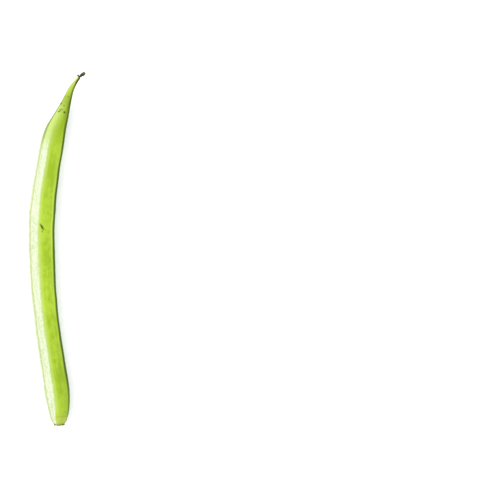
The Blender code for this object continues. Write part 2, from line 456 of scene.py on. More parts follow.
# %% [markdown]
# A second Set Position raises the skin's fine unevenness, out of three noises: pebbles, long fibres, and
# sags some millimetres apart. A third presses flat what would sink into the surface, as a real pod settles
# on its soft side. A bump in the finish could give the pebbles and fibres, but the sags show at the pod's
# edge.

# %% The sweeping tree: relief, and the surface below
FIBRE_STRETCH = (0.08, 1.0, 1.0)  # noise stretched along the pod shows as long fibres

laid_straight = fact("straight", VECTOR)
along_fibres = laid_straight.vector("MULTIPLY", FIBRE_STRETCH)
relief = noise(laid_straight, given["pebbles_per_mm"]) * given["pebble_depth"]
relief += noise(laid_straight, given["sags_per_mm"]) * given["sag_depth"]
relief += noise(along_fibres, given["fibres_per_mm"]) * given["fibre_depth"]
outwards = add(sweep, "GeometryNodeInputNormal", {})
skin = add(sweep, "GeometryNodeSetPosition", {"Geometry": skin, "Offset": outwards.scaled(relief * MM)})

skin_point = add(sweep, "GeometryNodeInputPosition", {})
not_sunk = skin_point.part("Z").math("MAXIMUM", given["surface"])
pressed = add(sweep, "ShaderNodeCombineXYZ", [skin_point.part("X"), skin_point.part("Y"), not_sunk])
skin = add(sweep, "GeometryNodeSetPosition", {"Geometry": skin, "Position": pressed})
end_tree(sweep, skin, given["material"])
print("sweeping tree:", len(sweep.nodes), "nodes")

# %% [markdown]
# The pod's own line in space. The pod lies rolled on the face between a side rib and the keel, so that its
# back looks up and to the left. Its underside is on the surface at three places and a little above it
# between them, and the beak rises. The line's height follows from that. Over the last stretch of the stalk
# end it stays level, so that the pod ends in a blunt, upright face.

# %% Where the pod's line runs
ROLL = math.radians(50)
RESTING_PLACES = [15.5, 55.5, 88.0]
AIR_BETWEEN = 0.5
FLAT_DEPTH = 0.10
BEAK_RISE = 3.3
STALK_END_LENGTH = 8.0
DIRECTION_STEP = 0.5


def rolled(side, back):
    """A place in the section, as (left, up), once the pod has rolled over."""
    return back * math.cos(ROLL) - side * math.sin(ROLL), back * math.sin(ROLL) + side * math.cos(ROLL)


UNDERSIDE = -min(rolled(side, back)[1] for side, back in full_section)


def rise(along):
    """How far the underside is off the surface."""
    height = BEAK_RISE * smooth(BEAK_STARTS, POD_END, along)
    for rest, following in zip(RESTING_PLACES, RESTING_PLACES[1:]):
        if rest < along < following:
            height += AIR_BETWEEN * math.sin(math.pi * (along - rest) / (following - rest)) ** 2
    return height


def roundness(along):
    return smooth(BEAK_STARTS, BEAK_ROUND_BY, along)


def axis_point(along):
    reach = UNDERSIDE + (BEAK_RADIUS - UNDERSIDE) * roundness(along)
    height = through(GIRTH, max(along, STALK_END_LENGTH)) * reach - FLAT_DEPTH + rise(along)
    return Vector((along, through(AXIS, along), height)) * MM


def axis_frame(along):
    """The line's place there, and its directions ahead, left and up."""
    before = axis_point(max(along - DIRECTION_STEP, 0.0))
    after = axis_point(min(along + DIRECTION_STEP, POD_END))
    ahead = (after - before).normalized()
    left = Vector((0, 0, 1)).cross(ahead).normalized()
    return axis_point(along), ahead, left, ahead.cross(left)


print("the line ends", round(axis_point(POD_END).z / MM, 1), "mm above the surface")

# %% [markdown]
# The rail has a station every quarter of a millimetre or so, close enough for the fine relief. The section
# knows both of its forms, the shield and the circle, and how far round towards the back each of its points
# is. The colours need that last fact.

# %% The pod's rail and section
STATION_STEP = 0.27


def lift_of(turn):
    """How far round towards the back, in degrees: 90 on the back, 0 on the sides, -90 on the keel."""
    return 90 - abs((math.degrees(turn) + 90) % 360 - 180)


station_count = round(POD_END / STATION_STEP)
alongs = [POD_END * k / station_count for k in range(station_count + 1)]
centres, aheads, lefts, ups = zip(*[axis_frame(along) for along in alongs])
pod_rail = thread(
    "pod_rail",
    centres,
    closed=False,
    centre=centres,
    ahead=aheads,
    left=lefts,
    up=ups,
    along=alongs,
    girth=[through(GIRTH, along) for along in alongs],
    roundness=[roundness(along) for along in alongs],
    swell=[seed_swell(along) for along in alongs],
)
section_points = [Vector((side, back, 0)) for side, back in full_section]
circle_points = [Vector((math.cos(turn), math.sin(turn), 0)) * BEAK_RADIUS for turn in ring_turns]
pod_section = helper_object(thread(
    "pod_section",
    section_points,
    closed=True,
    shield=section_points,
    circle=circle_points,
    lift=[lift_of(turn) for turn in ring_turns],
    upper=[math.cos(turn) for turn in ring_turns],
))
print("rail of", len(alongs), "stations")

# %% [markdown]
# Now the pod itself: one run of the tree. The sags are the shallow dents that make a soft pod's outline
# waver. It could be sculpted, but a sweep can be run again whenever its line or section changes.

# %% The pod
skin_finish = bpy.data.materials.new("pod_skin")
pod = run_tree(
    "cluster_bean_pod",
    sweep,
    pod_rail,
    section=pod_section,
    roll=ROLL,
    swell_in_thickness=0.042,
    swell_in_height=0.010,
    pebbles_per_mm=1.6,
    pebble_depth=0.05,
    fibres_per_mm=2.2,
    fibre_depth=0.03,
    sags_per_mm=0.16,
    sag_depth=0.22,
    surface=0.0,
    material=skin_finish,
)

# %% [markdown]
# Its box is then laid over the solid's, which fixes where the line starts in the shared frame. The two
# boxes agree to a tenth of a millimetre or so.

# %% The pod in the shared frame
cad_low, cad_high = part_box("pod")
places = [vertex.co for vertex in pod.data.vertices]
swept_low, swept_high = [
    Vector(pick(place[axis] for place in places) for axis in range(3)) for pick in (min, max)
]
shift = (cad_low + cad_high - swept_low - swept_high) / 2
shift.z = cad_low.z
to_frame = Matrix.Translation(shift)
pod.data.transform(to_frame)
print("swept, in mm:", [round(x / MM, 2) for x in swept_high - swept_low])
print("solid, in mm:", [round(x / MM, 2) for x in cad_high - cad_low])
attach(pod, "root")
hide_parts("pod")

# %% [markdown]
# The down. A cluster bean is covered in fine white hairs that lie flat along the pod. They are far finer
# than a pixel, and what shows is the pale, frosty bloom that they give together. Each is held by its
# middle, with an arm to either side, so it is made here as a spindle of six faces whose ends lift a little.
# Blender has hair of its own, but the exported model needs real faces, and as few of them as will do.

# %% A hair
HAIR_THICKNESS = 0.026
HAIR_LIFT = 0.035


def spindle(name, sides, thickness, end_lift):
    """A closed shape 1 mm long, thick in the middle and pointed at both ends, which lift."""
    ends = [(-0.5, 0, end_lift), (0.5, 0, end_lift)]
    ring = [(0, math.cos(turn) * thickness / 2, math.sin(turn) * thickness / 2) for turn in turns(sides)]
    points = [Vector(point) * MM for point in ends + ring]
    faces = []
    for k in range(sides):
        here, after = 2 + k, 2 + (k + 1) % sides
        faces += [(0, after, here), (1, here, after)]
    mesh = bpy.data.meshes.new(name)
    mesh.from_pydata(points, [], faces)
    return helper_object(mesh)


hair = spindle("hair", 3, HAIR_THICKNESS, HAIR_LIFT)
print("hair:", len(hair.data.polygons), "faces")

# %% [markdown]
# This tree scatters copies of a thing over a mesh, but not where it lies lower than a given level, so that
# nothing reaches into the surface below. Each copy points to what the mesh calls ahead, flat on its face.

# %% The scattering tree: where the copies lie
scatter, wanted = start_tree(
    "scatter_along",
    thing="Object",
    per_square_mm="Float",
    shortest="Float",
    longest="Float",
    stray="Float",
    lean="Float",
    lowest="Float",
    seed="Int",
    material="Material",
)
skin_place = add(scatter, "GeometryNodeInputPosition", {})
clear = skin_place.part("Z").math("GREATER_THAN", wanted["lowest"])
grain_feeds = {
    "Mesh": wanted["Geometry"],
    "Selection": clear,
    "Density": wanted["per_square_mm"] * (1 / MM**2),
    "Seed": wanted["seed"],
}
grains = add(scatter, "GeometryNodeDistributePointsOnFaces", grain_feeds, output="Points")
grain_normal = Flow(scatter, grains.socket.node.outputs["Normal"])
ahead = add(scatter, "GeometryNodeInputNamedAttribute", {"Name": "ahead"}, data_type=VECTOR)
along_pod = add(scatter, "FunctionNodeAlignRotationToVector", {"Vector": ahead}, axis="X")
lying_flat = add(
    scatter,
    "FunctionNodeAlignRotationToVector",
    {"Rotation": along_pod, "Vector": grain_normal},
    axis="Z",
    pivot_axis="X",
)
print("grains:", len(scatter.nodes), "nodes")

# %% [markdown]
# Two numbers drawn for each grain turn its copy a little: one astray along the face, one leaning off it. A
# third is its length. All the draws follow from the seed, so the down is the same each time.

# %% The scattering tree: how each copy turns
RANDOM_LOW, RANDOM_HIGH, RANDOM_NUMBER = 2, 3, 1  # the node's sockets for plain numbers


def drawn(low, high, which):
    """A number drawn for each grain."""
    feeds = {RANDOM_LOW: low, RANDOM_HIGH: high, "Seed": wanted["seed"] + which}
    return add(scatter, "FunctionNodeRandomValue", feeds, output=RANDOM_NUMBER, data_type="FLOAT")


leaning = drawn(wanted["lean"] * -1.0, wanted["lean"], 1)
straying = drawn(wanted["stray"] * -1.0, wanted["stray"], 2)
astray = add(scatter, "ShaderNodeCombineXYZ", [0.0, leaning, straying])
turned = add(
    scatter,
    "FunctionNodeRotateRotation",
    {"Rotation": lying_flat, "Rotate By": add(scatter, "FunctionNodeEulerToRotation", [astray])},
    rotation_space="LOCAL",
)
stretch = add(scatter, "ShaderNodeCombineXYZ", [drawn(wanted["shortest"], wanted["longest"], 3), 1.0, 1.0])
thing_feeds = {"Object": wanted["thing"], "As Instance": True}
thing = add(scatter, "GeometryNodeObjectInfo", thing_feeds, output="Geometry")
copy_feeds = {"Points": grains, "Instance": thing, "Rotation": turned, "Scale": stretch}
copies = add(scatter, "GeometryNodeInstanceOnPoints", copy_feeds)
end_tree(scatter, copies, wanted["material"])
print("scattering tree:", len(scatter.nodes), "nodes")

# %% [markdown]
# The down is one run of that tree over the pod. Real hairs are finer and many more: these are as many as a
# light model can carry.

# %% The down
down_finish = bpy.data.materials.new("down")
down = run_tree(
    "pod_down",
    scatter,
    pod.data.copy(),
    thing=hair,
    per_square_mm=4.0,
    shortest=0.45,
    longest=0.95,
    stray=math.radians(16),
    lean=math.radians(3),
    lowest=0.45 * MM,
    seed=3,
    material=down_finish,
)
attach(down, "root")

# %% [markdown]
# The stalk scar is the dry ring that the flower's calyx and stalk leave behind, round a hollow with the
# stub of the stalk's core. Its rim is torn. It is turned round the pod's end from a small profile, and a
# few waves of different length push each point of the rim out or in. The waves are the tears.

# %% The scar's profile and tears
SCAR_SIDES = 120
SCAR_THICKNESS = 0.32
SCAR_TEAR = 0.10
SCAR_TEAR_SPREAD = 0.3  # how much wider the ring gets where a tear stands out
SCAR_PROFILE = [
    (-0.40, 0.80, 0.0), (0.05, 0.94, 0.0), (0.30, 1.00, 0.3), (0.62, 1.00, 0.6), (0.92, 0.96, 0.9),
    (1.10, 0.89, 1.0), (1.08, 0.83, 1.0), (0.88, 0.77, 0.8), (0.66, 0.68, 0.4), (0.52, 0.52, 0.2),
    (0.54, 0.34, 0.1), (0.74, 0.24, 0.2), (0.80, 0.12, 0.2),
]  # from the root over the rim into the hollow: share of the thickness, of the outline, and of the tear
TEAR_WAVES = [
    (3, 0.30, 0.4), (5, 0.35, 2.1), (11, 0.30, 1.0), (17, 0.30, 5.0), (29, 0.26, 3.3), (41, 0.2, 1.7),
]  # how many round the rim, how strong, and where each starts


def tear(turn):
    """How far the rim is torn there, from about -1 to 1."""
    return sum(strength * math.sin(count * turn + start) for count, strength, start in TEAR_WAVES)


print("strongest tear:", round(max(map(tear, ring_turns)), 2))

# %% [markdown]
# Each step of the profile is a ring in the shape of the pod's own rolled section, and faces join the rings
# into a closed skin. Here a plain mesh is simpler than a tree, because the tears are a formula. It is built
# at the origin, and a matrix puts it at the pod's blunt end.

# %% The stalk scar


def end_matrix(along):
    """The line's place and directions in the shared frame, as a matrix whose X is ahead."""
    centre, ahead, left, up = axis_frame(along)
    return to_frame @ Matrix.Translation(centre) @ Matrix((ahead, left, up)).transposed().to_4x4()


def closed_skin(name, rings, material):
    """A closed mesh from ring to ring, with a face at each end, its faces outwards."""
    sides = len(rings[0])
    last = (len(rings) - 1) * sides
    faces = [tuple(range(sides)), tuple(range(last, last + sides))]
    for row in range(0, last, sides):
        for k in range(sides):
            after = (k + 1) % sides
            faces.append((row + k, row + after, row + sides + after, row + sides + k))
    mesh = bpy.data.meshes.new(name)
    mesh.from_pydata([point for ring in rings for point in ring], [], faces)
    shape = bmesh.new()
    shape.from_mesh(mesh)
    bmesh.ops.recalc_face_normals(shape, faces=shape.faces[:])
    shape.to_mesh(mesh)
    shape.free()
    mesh.shade_smooth()
    mesh.materials.append(material)
    return mesh


scar_finish = bpy.data.materials.new("scar_brown")
scar_rings = []
for out, outline, tear_share in SCAR_PROFILE:
    ring = []
    for turn in turns(SCAR_SIDES):
        torn = SCAR_TEAR * tear(turn) * tear_share
        wide = GIRTH[0][1] * outline * (1 + SCAR_TEAR_SPREAD * torn)
        left, up = rolled(*shield(turn))
        ring.append(Vector((-out * SCAR_THICKNESS - torn, left * wide, up * wide)) * MM)
    scar_rings.append(ring)
scar = placed("stalk_scar_ring", closed_skin("stalk_scar_ring", scar_rings, scar_finish))
scar.data.transform(end_matrix(0.0))
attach(scar, "root")
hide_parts("stalk_scar")
print("scar:", len(scar.data.vertices), "points")

# %% [markdown]
# Torn fibres stand out of the scar. They are the same spindle as a hair, stouter, and the same tree
# scatters them: it only needs to be told which way they point, and here that is out of the pod's end. A
# bump could hint at them, but they stand out beyond the scar's edge.

# %% The torn fibres
FIBRE_THICKNESS = 0.07
fibre_ground = scar.data.copy()
pointing = fibre_ground.attributes.new("ahead", VECTOR, "POINT")
pointing.data.foreach_set("vector", list(-axis_frame(0.0)[1]) * len(fibre_ground.vertices))
fibres = run_tree(
    "scar_fibres",
    scatter,
    fibre_ground,
    thing=spindle("fibre", 4, FIBRE_THICKNESS, end_lift=0.0),
    per_square_mm=11.0,
    shortest=0.15,
    longest=0.40,
    stray=math.radians(35),
    lean=math.radians(28),
    lowest=0.0,
    seed=8,
    material=scar_finish,
)
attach(fibres, "root")

# %% [markdown]
# The withered style is what is left of the flower's pistil: a thin neck and a shrivelled, twisted club. The
# sweeping tree makes it too. Its section is a circle with folds, its rail bends to the right, and the
# directions that the section stands on turn as the rail goes, which twists the folds. A plain tapered tube
# would be simpler, but the twisted folds are what makes it look dry.

# %% A shrivelled thread
STYLE_SINK = 0.25  # how far its root goes into the beak, in mm
STYLE_SIDES = 40
STYLE_STEPS = 90
FOLDS = [(3, 0.07, 1.0), (5, 0.13, 0.0)]  # how many round it, how deep, and turned by how much


def folded_circle(turn):
    reach = 1 + sum(depth * math.cos(count * turn + start) for count, depth, start in FOLDS)
    return Vector((math.cos(turn), math.sin(turn), 0)) * reach


style_finish = bpy.data.materials.new("style_brown")
style_points = [folded_circle(turn) for turn in turns(STYLE_SIDES)]
style_section = helper_object(
    thread("style_section", style_points, closed=True, shield=style_points, circle=style_points)
)


def shrivelled(name, length, bends, slope, twist, radii):
    """A dry thread from the beak's tip. Its bends are its turns to the left, at its root and at its end."""
    whole = length + STYLE_SINK
    shares = [k / STYLE_STEPS for k in range(STYLE_STEPS + 1)]
    point = Vector((-STYLE_SINK, 0, 0)) * MM
    centres, lefts, ups = [], [], []
    for share in shares:
        bend = bends[0] + (bends[1] - bends[0]) * share
        ahead = Vector((math.cos(bend), math.sin(bend), slope)).normalized()
        left = Vector((0, 0, 1)).cross(ahead).normalized()
        turned = Matrix.Rotation(twist * share, 3, ahead)
        centres.append(point)
        lefts.append(turned @ left)
        ups.append(turned @ ahead.cross(left))
        point = point + ahead * whole * MM / STYLE_STEPS
    ones = [1.0] * len(shares)
    rail = thread(
        name,
        centres,
        closed=False,
        centre=centres,
        left=lefts,
        up=ups,
        along=[whole * share for share in shares],
        girth=[through(radii, share) for share in shares],
        roundness=ones,
        swell=ones,
    )
    piece = run_tree(
        name,
        sweep,
        rail,
        section=style_section,
        pebbles_per_mm=5.0,
        pebble_depth=0.10,
        fibres_per_mm=6.0,
        fibre_depth=0.08,
        surface=-1.0,
        material=style_finish,
    )
    piece.data.transform(end_matrix(POD_END))
    return piece


print("folded section:", len(style_points), "points")

# %% [markdown]
# Two such threads stand at the beak's tip: the style, whose club bends to the right, and beside it a short
# dried filament, the stem of one of the flower's stamens. Each radius goes with a share of the length.

# %% The withered style and the dried filament
style = shrivelled(
    "style_club",
    length=2.45,
    bends=(math.radians(-2), math.radians(-26)),
    slope=0.09,
    twist=math.radians(140),
    radii=[(0.0, 0.30), (0.12, 0.26), (0.30, 0.42), (0.58, 0.53), (0.88, 0.52), (0.97, 0.42), (1.0, 0.32)],
)
filament = shrivelled(
    "dried_filament",
    length=0.9,
    bends=(math.radians(56), math.radians(68)),
    slope=0.2,
    twist=math.radians(90),
    radii=[(0.0, 0.30), (0.5, 0.27), (0.8, 0.26), (1.0, 0.18)],
)
for piece in (style, filament):
    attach(piece, "root")
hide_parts("withered_style")

# %% [markdown]
# The marks on the skin are placed through the camera: a ray goes from the lens through a pixel of the
# photograph, and the mark is where it meets the skin. From then on each mark is a real place on the pod,
# which stays there from any side. They could be painted on by eye, but a ray lands within a pixel of the
# place.

# %% From a pixel to the skin
skin_tree = BVHTree.FromPolygons(
    [vertex.co for vertex in pod.data.vertices], [tuple(face.vertices) for face in pod.data.polygons]
)


def on_skin(pixel):
    """The place on the pod that shows at that pixel of the photograph."""
    right = (pixel[0] - PHOTO_PIXELS / 2) * PIXEL
    down_by = (pixel[1] - PHOTO_PIXELS / 2) * PIXEL
    target = PHOTO_MIDDLE + Vector((-down_by, -right, 0))
    found = skin_tree.ray_cast(camera.location, (target - camera.location).normalized())[0]
    return found or target


SCRATCH_PIXELS = [(40.3, 224.4), (43.7, 229.6)]  # across and down, at its two ends
SPECK_PIXELS = [
    (61.0, 103.5, 0.74, 1.0), (58.6, 111.4, 0.50, 0.9), (59.8, 111.1, 0.50, 0.9), (60.7, 109.6, 0.50, 0.9),
    (62.0, 109.3, 0.46, 0.8), (64.4, 112.3, 0.68, 1.0), (64.1, 105.6, 0.46, 0.6), (68.3, 96.6, 0.46, 0.5),
    (42.3, 231.6, 0.50, 0.6),
]  # across, down, radius in mm, and strength
SCRATCH = [on_skin(pixel) for pixel in SCRATCH_PIXELS]
SPECKS = [(on_skin(pixel), radius, strength) for *pixel, radius, strength in SPECK_PIXELS]
print("scratch", round((SCRATCH[1] - SCRATCH[0]).length / MM, 1), "mm long")

# %% [markdown]
# Finishes are shader trees written with the same formulas. Colours are given as a screen shows them, from 0
# to 255, and turned into the even steps of light that a shader counts in. An image could hold the same
# colours, but formulas stay sharp from close up and have no seam.

# %% Formulas for finishes
MIX_SHARE, MIX_FIRST, MIX_SECOND, MIX_RESULT = 0, 6, 7, 2  # the Mix node's sockets for colours


def screen(red, green, blue):
    """A colour from 0 to 255, as a shader wants it."""
    levels = [level / 255 for level in (red, green, blue)]
    return [x / 12.92 if x < 0.04 else ((x + 0.055) / 1.055) ** 2.4 for x in levels] + [1.0]


def mixed(share, first, second):
    """The first colour where the share is 0, the second where it is 1."""
    feeds = {MIX_SHARE: share, MIX_FIRST: first, MIX_SECOND: second}
    return add(share.tree, "ShaderNodeMix", feeds, output=MIX_RESULT, data_type="RGBA")


def layered(ground, *layers):
    """The ground under layers of colour, each a share and a colour."""
    for share, layer in layers:
        ground = mixed(share, ground, layer)
    return ground


def attribute(tree, name, output="Fac"):
    return add(tree, "ShaderNodeAttribute", {}, output=output, attribute_name=name)


def object_place(tree):
    return add(tree, "ShaderNodeTexCoord", {}, output="Object")


def near(flow, middle, within, gone, most=1.0, least=0.0):
    """The most within a distance of the middle, and the least once the flow is as far from it as gone."""
    return (flow - middle).math("ABSOLUTE").ramp(within, gone, most, least)


def finish(material, colour, roughness, height, bump_depth, gloss):
    """Feeds a material's shader."""
    tree = material.node_tree
    bumped = add(tree, "ShaderNodeBump", {"Strength": 1.0, "Distance": bump_depth, "Height": height})
    looks = {"Base Color": colour, "Roughness": roughness, "Specular IOR Level": gloss, "Normal": bumped}
    feed(tree.nodes["Principled BSDF"], looks)
    print(material.name, "finish:", len(tree.nodes), "nodes")

# %% [markdown]
# The skin. Up close a cluster bean isn't one green. Each of its colours is a mask times a colour, and most
# masks are ramps of two facts: how far along the pod a place is, in millimetres, and how far round towards
# the back, in degrees. First come four noises, from broad clouds to fine frost, and the masks that the
# others build on. A little noise in a mask keeps its edge from being a ruled line.

# %% The skin's noises and first masks
STREAK_STRETCH = (0.07, 1.0, 1.0)
FROST_STRETCH = (0.8, 1.0, 1.0)
BEAK_COLOURS = (89.5, 100.0)  # where the body's colours give way to the beak's
NEAR_TIP = (98.0, 114.0)
UPPER_TO_LOWER = (-0.2, 0.2)

skin_finish.use_nodes = True
tree = skin_finish.node_tree
laid_out = attribute(tree, "straight", "Vector")
along = laid_out.part("X")
clouds = noise(laid_out, 0.10)
blotches = noise(laid_out, 0.55, detail=2.0)
streaks = noise(laid_out.vector("MULTIPLY", STREAK_STRETCH), 1.5, detail=2.0)
frost = noise(laid_out.vector("MULTIPLY", FROST_STRETCH), 1.3, detail=2.0, roughness=0.6)

lifted = attribute(tree, "lift") + streaks * 5.0 + blotches * 4.0
lower_side = attribute(tree, "upper").ramp(*UPPER_TO_LOWER, 1.0, 0.0)
in_beak = (along + blotches * 3.0).ramp(*BEAK_COLOURS)
on_body = in_beak.inverse()
near_tip = along.ramp(*NEAR_TIP)
print("skin's first masks:", len(tree.nodes), "nodes")

# %% [markdown]
# The sides are a bright yellow-green, clouded with a leafier one. The beak has a green of its own, deeper
# at a waist near its tip, and paler on its back, partly frost and partly light painted on the lamp's side.
# A painted highlight runs along the low rib on each side. Below it lies a band of painted shade along the
# lower edge, which is why the pod looks outlined from above; on the beak it reaches higher round the side
# away from the lamp. The band fades towards the keel and the stalk, and near the stalk end more painted
# shade darkens all but the back.

# %% The greens
# Places along the pod are in mm and lifts in degrees. A pair says where a mask starts and where it ends.
BRIGHT_GREEN = screen(176, 206, 56)
LEAF_GREEN = screen(152, 184, 38)
BEAK_GREEN = screen(150, 180, 32)
BEAK_FROST_AND_LIGHT = screen(186, 206, 112)
BEAK_DEEP = screen(122, 154, 8)
BEAK_SHADE = screen(80, 102, 4)
STRAW = screen(180, 192, 86)
RIB_GREEN = screen(190, 216, 86)
# The green of the painted shade, which the blunt end's collar also uses as its own darker green.
SHADE_AND_COLLAR_GREEN = screen(62, 88, 0)
BEAK_PALES = (14.0, 88.0)
BEAK_WAIST = 108.6
WAIST_REACH = (0.3, 3.6)  # how far from its middle it is deepest, and gone
SIDE_RIB_LIFT = 2.0
SIDE_HIGHLIGHT_WIDTH = (1.0, 6.0)
SIDE_HIGHLIGHT_STRONGEST = 69.0
SIDE_HIGHLIGHT_REACH = (2.0, 30.0)
STALK_SHADE_LIFTS = (0.0, 45.0)
STALK_SHADE_FADES = (8.0, 44.0)
BAND_TOP = (-10.0, 2.0)
BAND_TOP_ON_BEAK = (-8.0, 32.0)
BAND_FOOT = (-64.0, -30.0)
BAND_WIDENS = (97.0, 110.0)
BAND_STARTS = (3.0, 16.0)

leafiness = (clouds * 1.6 + streaks * 1.3 + blotches * 1.8 + 0.46).ramp(0.0, 1.0)
# Paler towards the beak's back: partly frost, partly light painted on the side that faces the lamp.
beak_frost_and_light = lifted.ramp(*BEAK_PALES) * in_beak * near_tip.ramp(0.0, 1.0, 1.0, 0.5)
beak_dusk = near(along + blotches * 2.0, BEAK_WAIST, *WAIST_REACH, most=0.75)
# Painted highlight: the low side rib drawn as if it catches the light, in RIB_GREEN.
side_rib_highlight = near(lifted, SIDE_RIB_LIFT, *SIDE_HIGHLIGHT_WIDTH)
side_rib_highlight *= near(along, SIDE_HIGHLIGHT_STRONGEST, *SIDE_HIGHLIGHT_REACH, most=0.9, least=0.2)
side_rib_highlight *= blotches * 1.6 + 0.8
# Painted shade: the sides darker near the stalk end, less on the back.
stalk_shade = lifted.ramp(*STALK_SHADE_LIFTS, 0.24, 0.08) * along.ramp(*STALK_SHADE_FADES, 1.0, 0.0)
# Painted shade: a dark band along the lower edge, reaching higher on the beak's side away from the lamp.
beak_shade_band = lifted.ramp(*BAND_TOP_ON_BEAK, 1.0, 0.0) * along.ramp(*BAND_WIDENS)
shade_band = lifted.ramp(*BAND_TOP, 1.0, 0.0).math("MAXIMUM", beak_shade_band)
shade_band *= lifted.ramp(*BAND_FOOT, 0.2, 1.0) * along.ramp(*BAND_STARTS, 0.7, 1.0)

green = layered(
    mixed(leafiness, BRIGHT_GREEN, LEAF_GREEN),
    (in_beak, BEAK_GREEN),
    (beak_frost_and_light, BEAK_FROST_AND_LIGHT),
    (beak_dusk, BEAK_DEEP),
    (near_tip * 0.4, STRAW),
    (side_rib_highlight, RIB_GREEN),
    (stalk_shade, SHADE_AND_COLLAR_GREEN),
    (shade_band, mixed(in_beak, SHADE_AND_COLLAR_GREEN, BEAK_SHADE)),
)
print("with its greens:", len(tree.nodes), "nodes")

# %% [markdown]
# The back between its ribs is pale and frosted, with a lighter green along each rib. Its paleness is partly
# the skin's own frost and partly painted sheen, the light of the lamp at the upper left put into its
# colour.
# On the lower side the paleness reaches further round towards the stalk, and it draws in again at the blunt
# end. A thin grey-green line runs along the foot of the lower rib and on over the beak, where it is darker:
# partly painted shade in the rib's crease, partly a darker tint of the skin.

# %% The pale back, its ribs and its line
PALE_BACK = screen(186, 201, 148)
FROST_AND_SHEEN_WHITE = screen(219, 224, 200)
LINE_GREEN = screen(166, 180, 110)
LINE_SHADE = screen(134, 149, 84)
BACK_RIB_LIFT = 45.0
RIB_GLOW_WIDTH = (0.0, 9.0)
PALE_EDGE = (40.0, 61.0)
PALE_FURTHER = 14.0  # degrees, on the lower side from the stalk end
FURTHER_UNTIL = (60.0, 76.0)
BLUNT_END = (1.5, 7.0)
LINE_WIDTH = (1.0, 8.0)
LINE_LIFTS = (65.0, 68.0)  # on the body and on the beak

pale_reach = lower_side * along.ramp(*FURTHER_UNTIL, PALE_FURTHER, 0.0)
pale_reach -= along.ramp(*BLUNT_END, PALE_FURTHER, 0.0)
on_back = (lifted + pale_reach).ramp(*PALE_EDGE) * on_body
off_back = on_back.inverse()
rib_glow = near(lifted, BACK_RIB_LIFT, *RIB_GLOW_WIDTH, most=0.55) * on_body
line_lift = in_beak.ramp(0.0, 1.0, *LINE_LIFTS)
# The foot line: partly painted shade in the crease at the rib's foot, partly a darker tint of the skin.
from_line = (attribute(tree, "lift") + blotches * 3.0 - line_lift).math("ABSOLUTE")
foot_line = (from_line - in_beak * 6.0).ramp(*LINE_WIDTH, 1.0, 0.0) * lower_side
foot_line *= in_beak.ramp(0.0, 1.0, 0.7, 1.0) * near_tip.ramp(0.3, 0.9, 1.0, 0.3)

# The pale back's colours: partly frost, partly painted sheen from the lamp.
pale = mixed((frost * 1.9 + streaks * 1.1 + 0.5).ramp(0.0, 1.0), PALE_BACK, FROST_AND_SHEEN_WHITE)
colour = mixed(rib_glow, mixed(on_back, green, pale), RIB_GREEN)
colour = mixed(foot_line, colour, mixed(in_beak, LINE_GREEN, LINE_SHADE))
print("with its back:", len(tree.nodes), "nodes")

# %% [markdown]
# The two ends. The blunt end yellows to straw, a faint and wavering collar crosses it, and painted shade
# darkens its very edge, most towards the keel. The beak's tip pales on its upper side and browns from its
# lower side up, next to the dead style.

# %% The colours of the two ends
TIP_STRAW = screen(190, 196, 116)
TIP_BROWN = screen(62, 62, 4)
YELLOW_END = (0.3, 5.0)
COLLAR_AT = 2.6
COLLAR_WIDTH = (0.0, 0.5)
DARK_END = (0.1, 0.8)
DARK_END_LIFTS = (-30.0, 45.0)
TIP_PALES = (112.0, 115.0)
TIP_PALE_LIFTS = (25.0, 60.0)
TIP_BROWNS = (112.9, 114.3)
BROWNS_LATER = 2.5  # how much nearer the tip it browns on the upper side
BROWNING_LIFTS = (8.0, 70.0)

yellowing = (along + blotches * 1.5).ramp(*YELLOW_END, 0.6, 0.0) * off_back
collar = near(along + blotches * 2.5, COLLAR_AT, *COLLAR_WIDTH, most=0.24) * off_back
# Painted shade: the blunt end's very edge darker, most towards the keel.
end_shade = along.ramp(*DARK_END, 1.0, 0.0) * lifted.ramp(*DARK_END_LIFTS, 0.6, 0.2)
tip_paling = along.ramp(*TIP_PALES, 0.0, 0.8) * lifted.ramp(*TIP_PALE_LIFTS)
browning_place = along + blotches * 2.0 - lifted.ramp(*BROWNING_LIFTS, 0.0, BROWNS_LATER)
browning = browning_place.ramp(*TIP_BROWNS, 0.0, 0.95)

colour = layered(
    colour,
    (yellowing, STRAW),
    (collar, SHADE_AND_COLLAR_GREEN),
    (end_shade, SHADE_AND_COLLAR_GREEN),
    (tip_paling, TIP_STRAW),
    (browning, TIP_BROWN),
)
print("with its ends:", len(tree.nodes), "nodes")

# %% [markdown]
# The marks. The scratch is a line with a deeper and wider middle, the specks are small spots, and a Voronoi
# pattern strews a few faint flecks over the rest. A wobble of the place makes their edges ragged. All are a
# little sunk, so they go into the bump as well: dents in the mesh could do that too, but at half a
# millimetre a bump in the finish is enough. The skin is matt, with next to no gloss.

# %% The marks, and the finished skin
MARK_BROWN = screen(40, 58, 0)
WOBBLES_PER_MM = 3.0
WOBBLE_REACH = 0.5 * MM
SCRATCH_WIDTH = 0.46 * MM
DEEPEST_WIDTH = 0.66 * MM
DEEPEST_SHARES = (0.3, 0.75)  # of the way along the scratch
FLECK_STRETCH = (0.5, 1.0, 1.0)
FLECKS_PER_MM = 0.30
FLECK_SIZE = (0.02, 0.07)  # as shares of the distance between two
SKIN_GRAINS_PER_MM = 5.0
SKIN_BUMP = 0.03 * MM


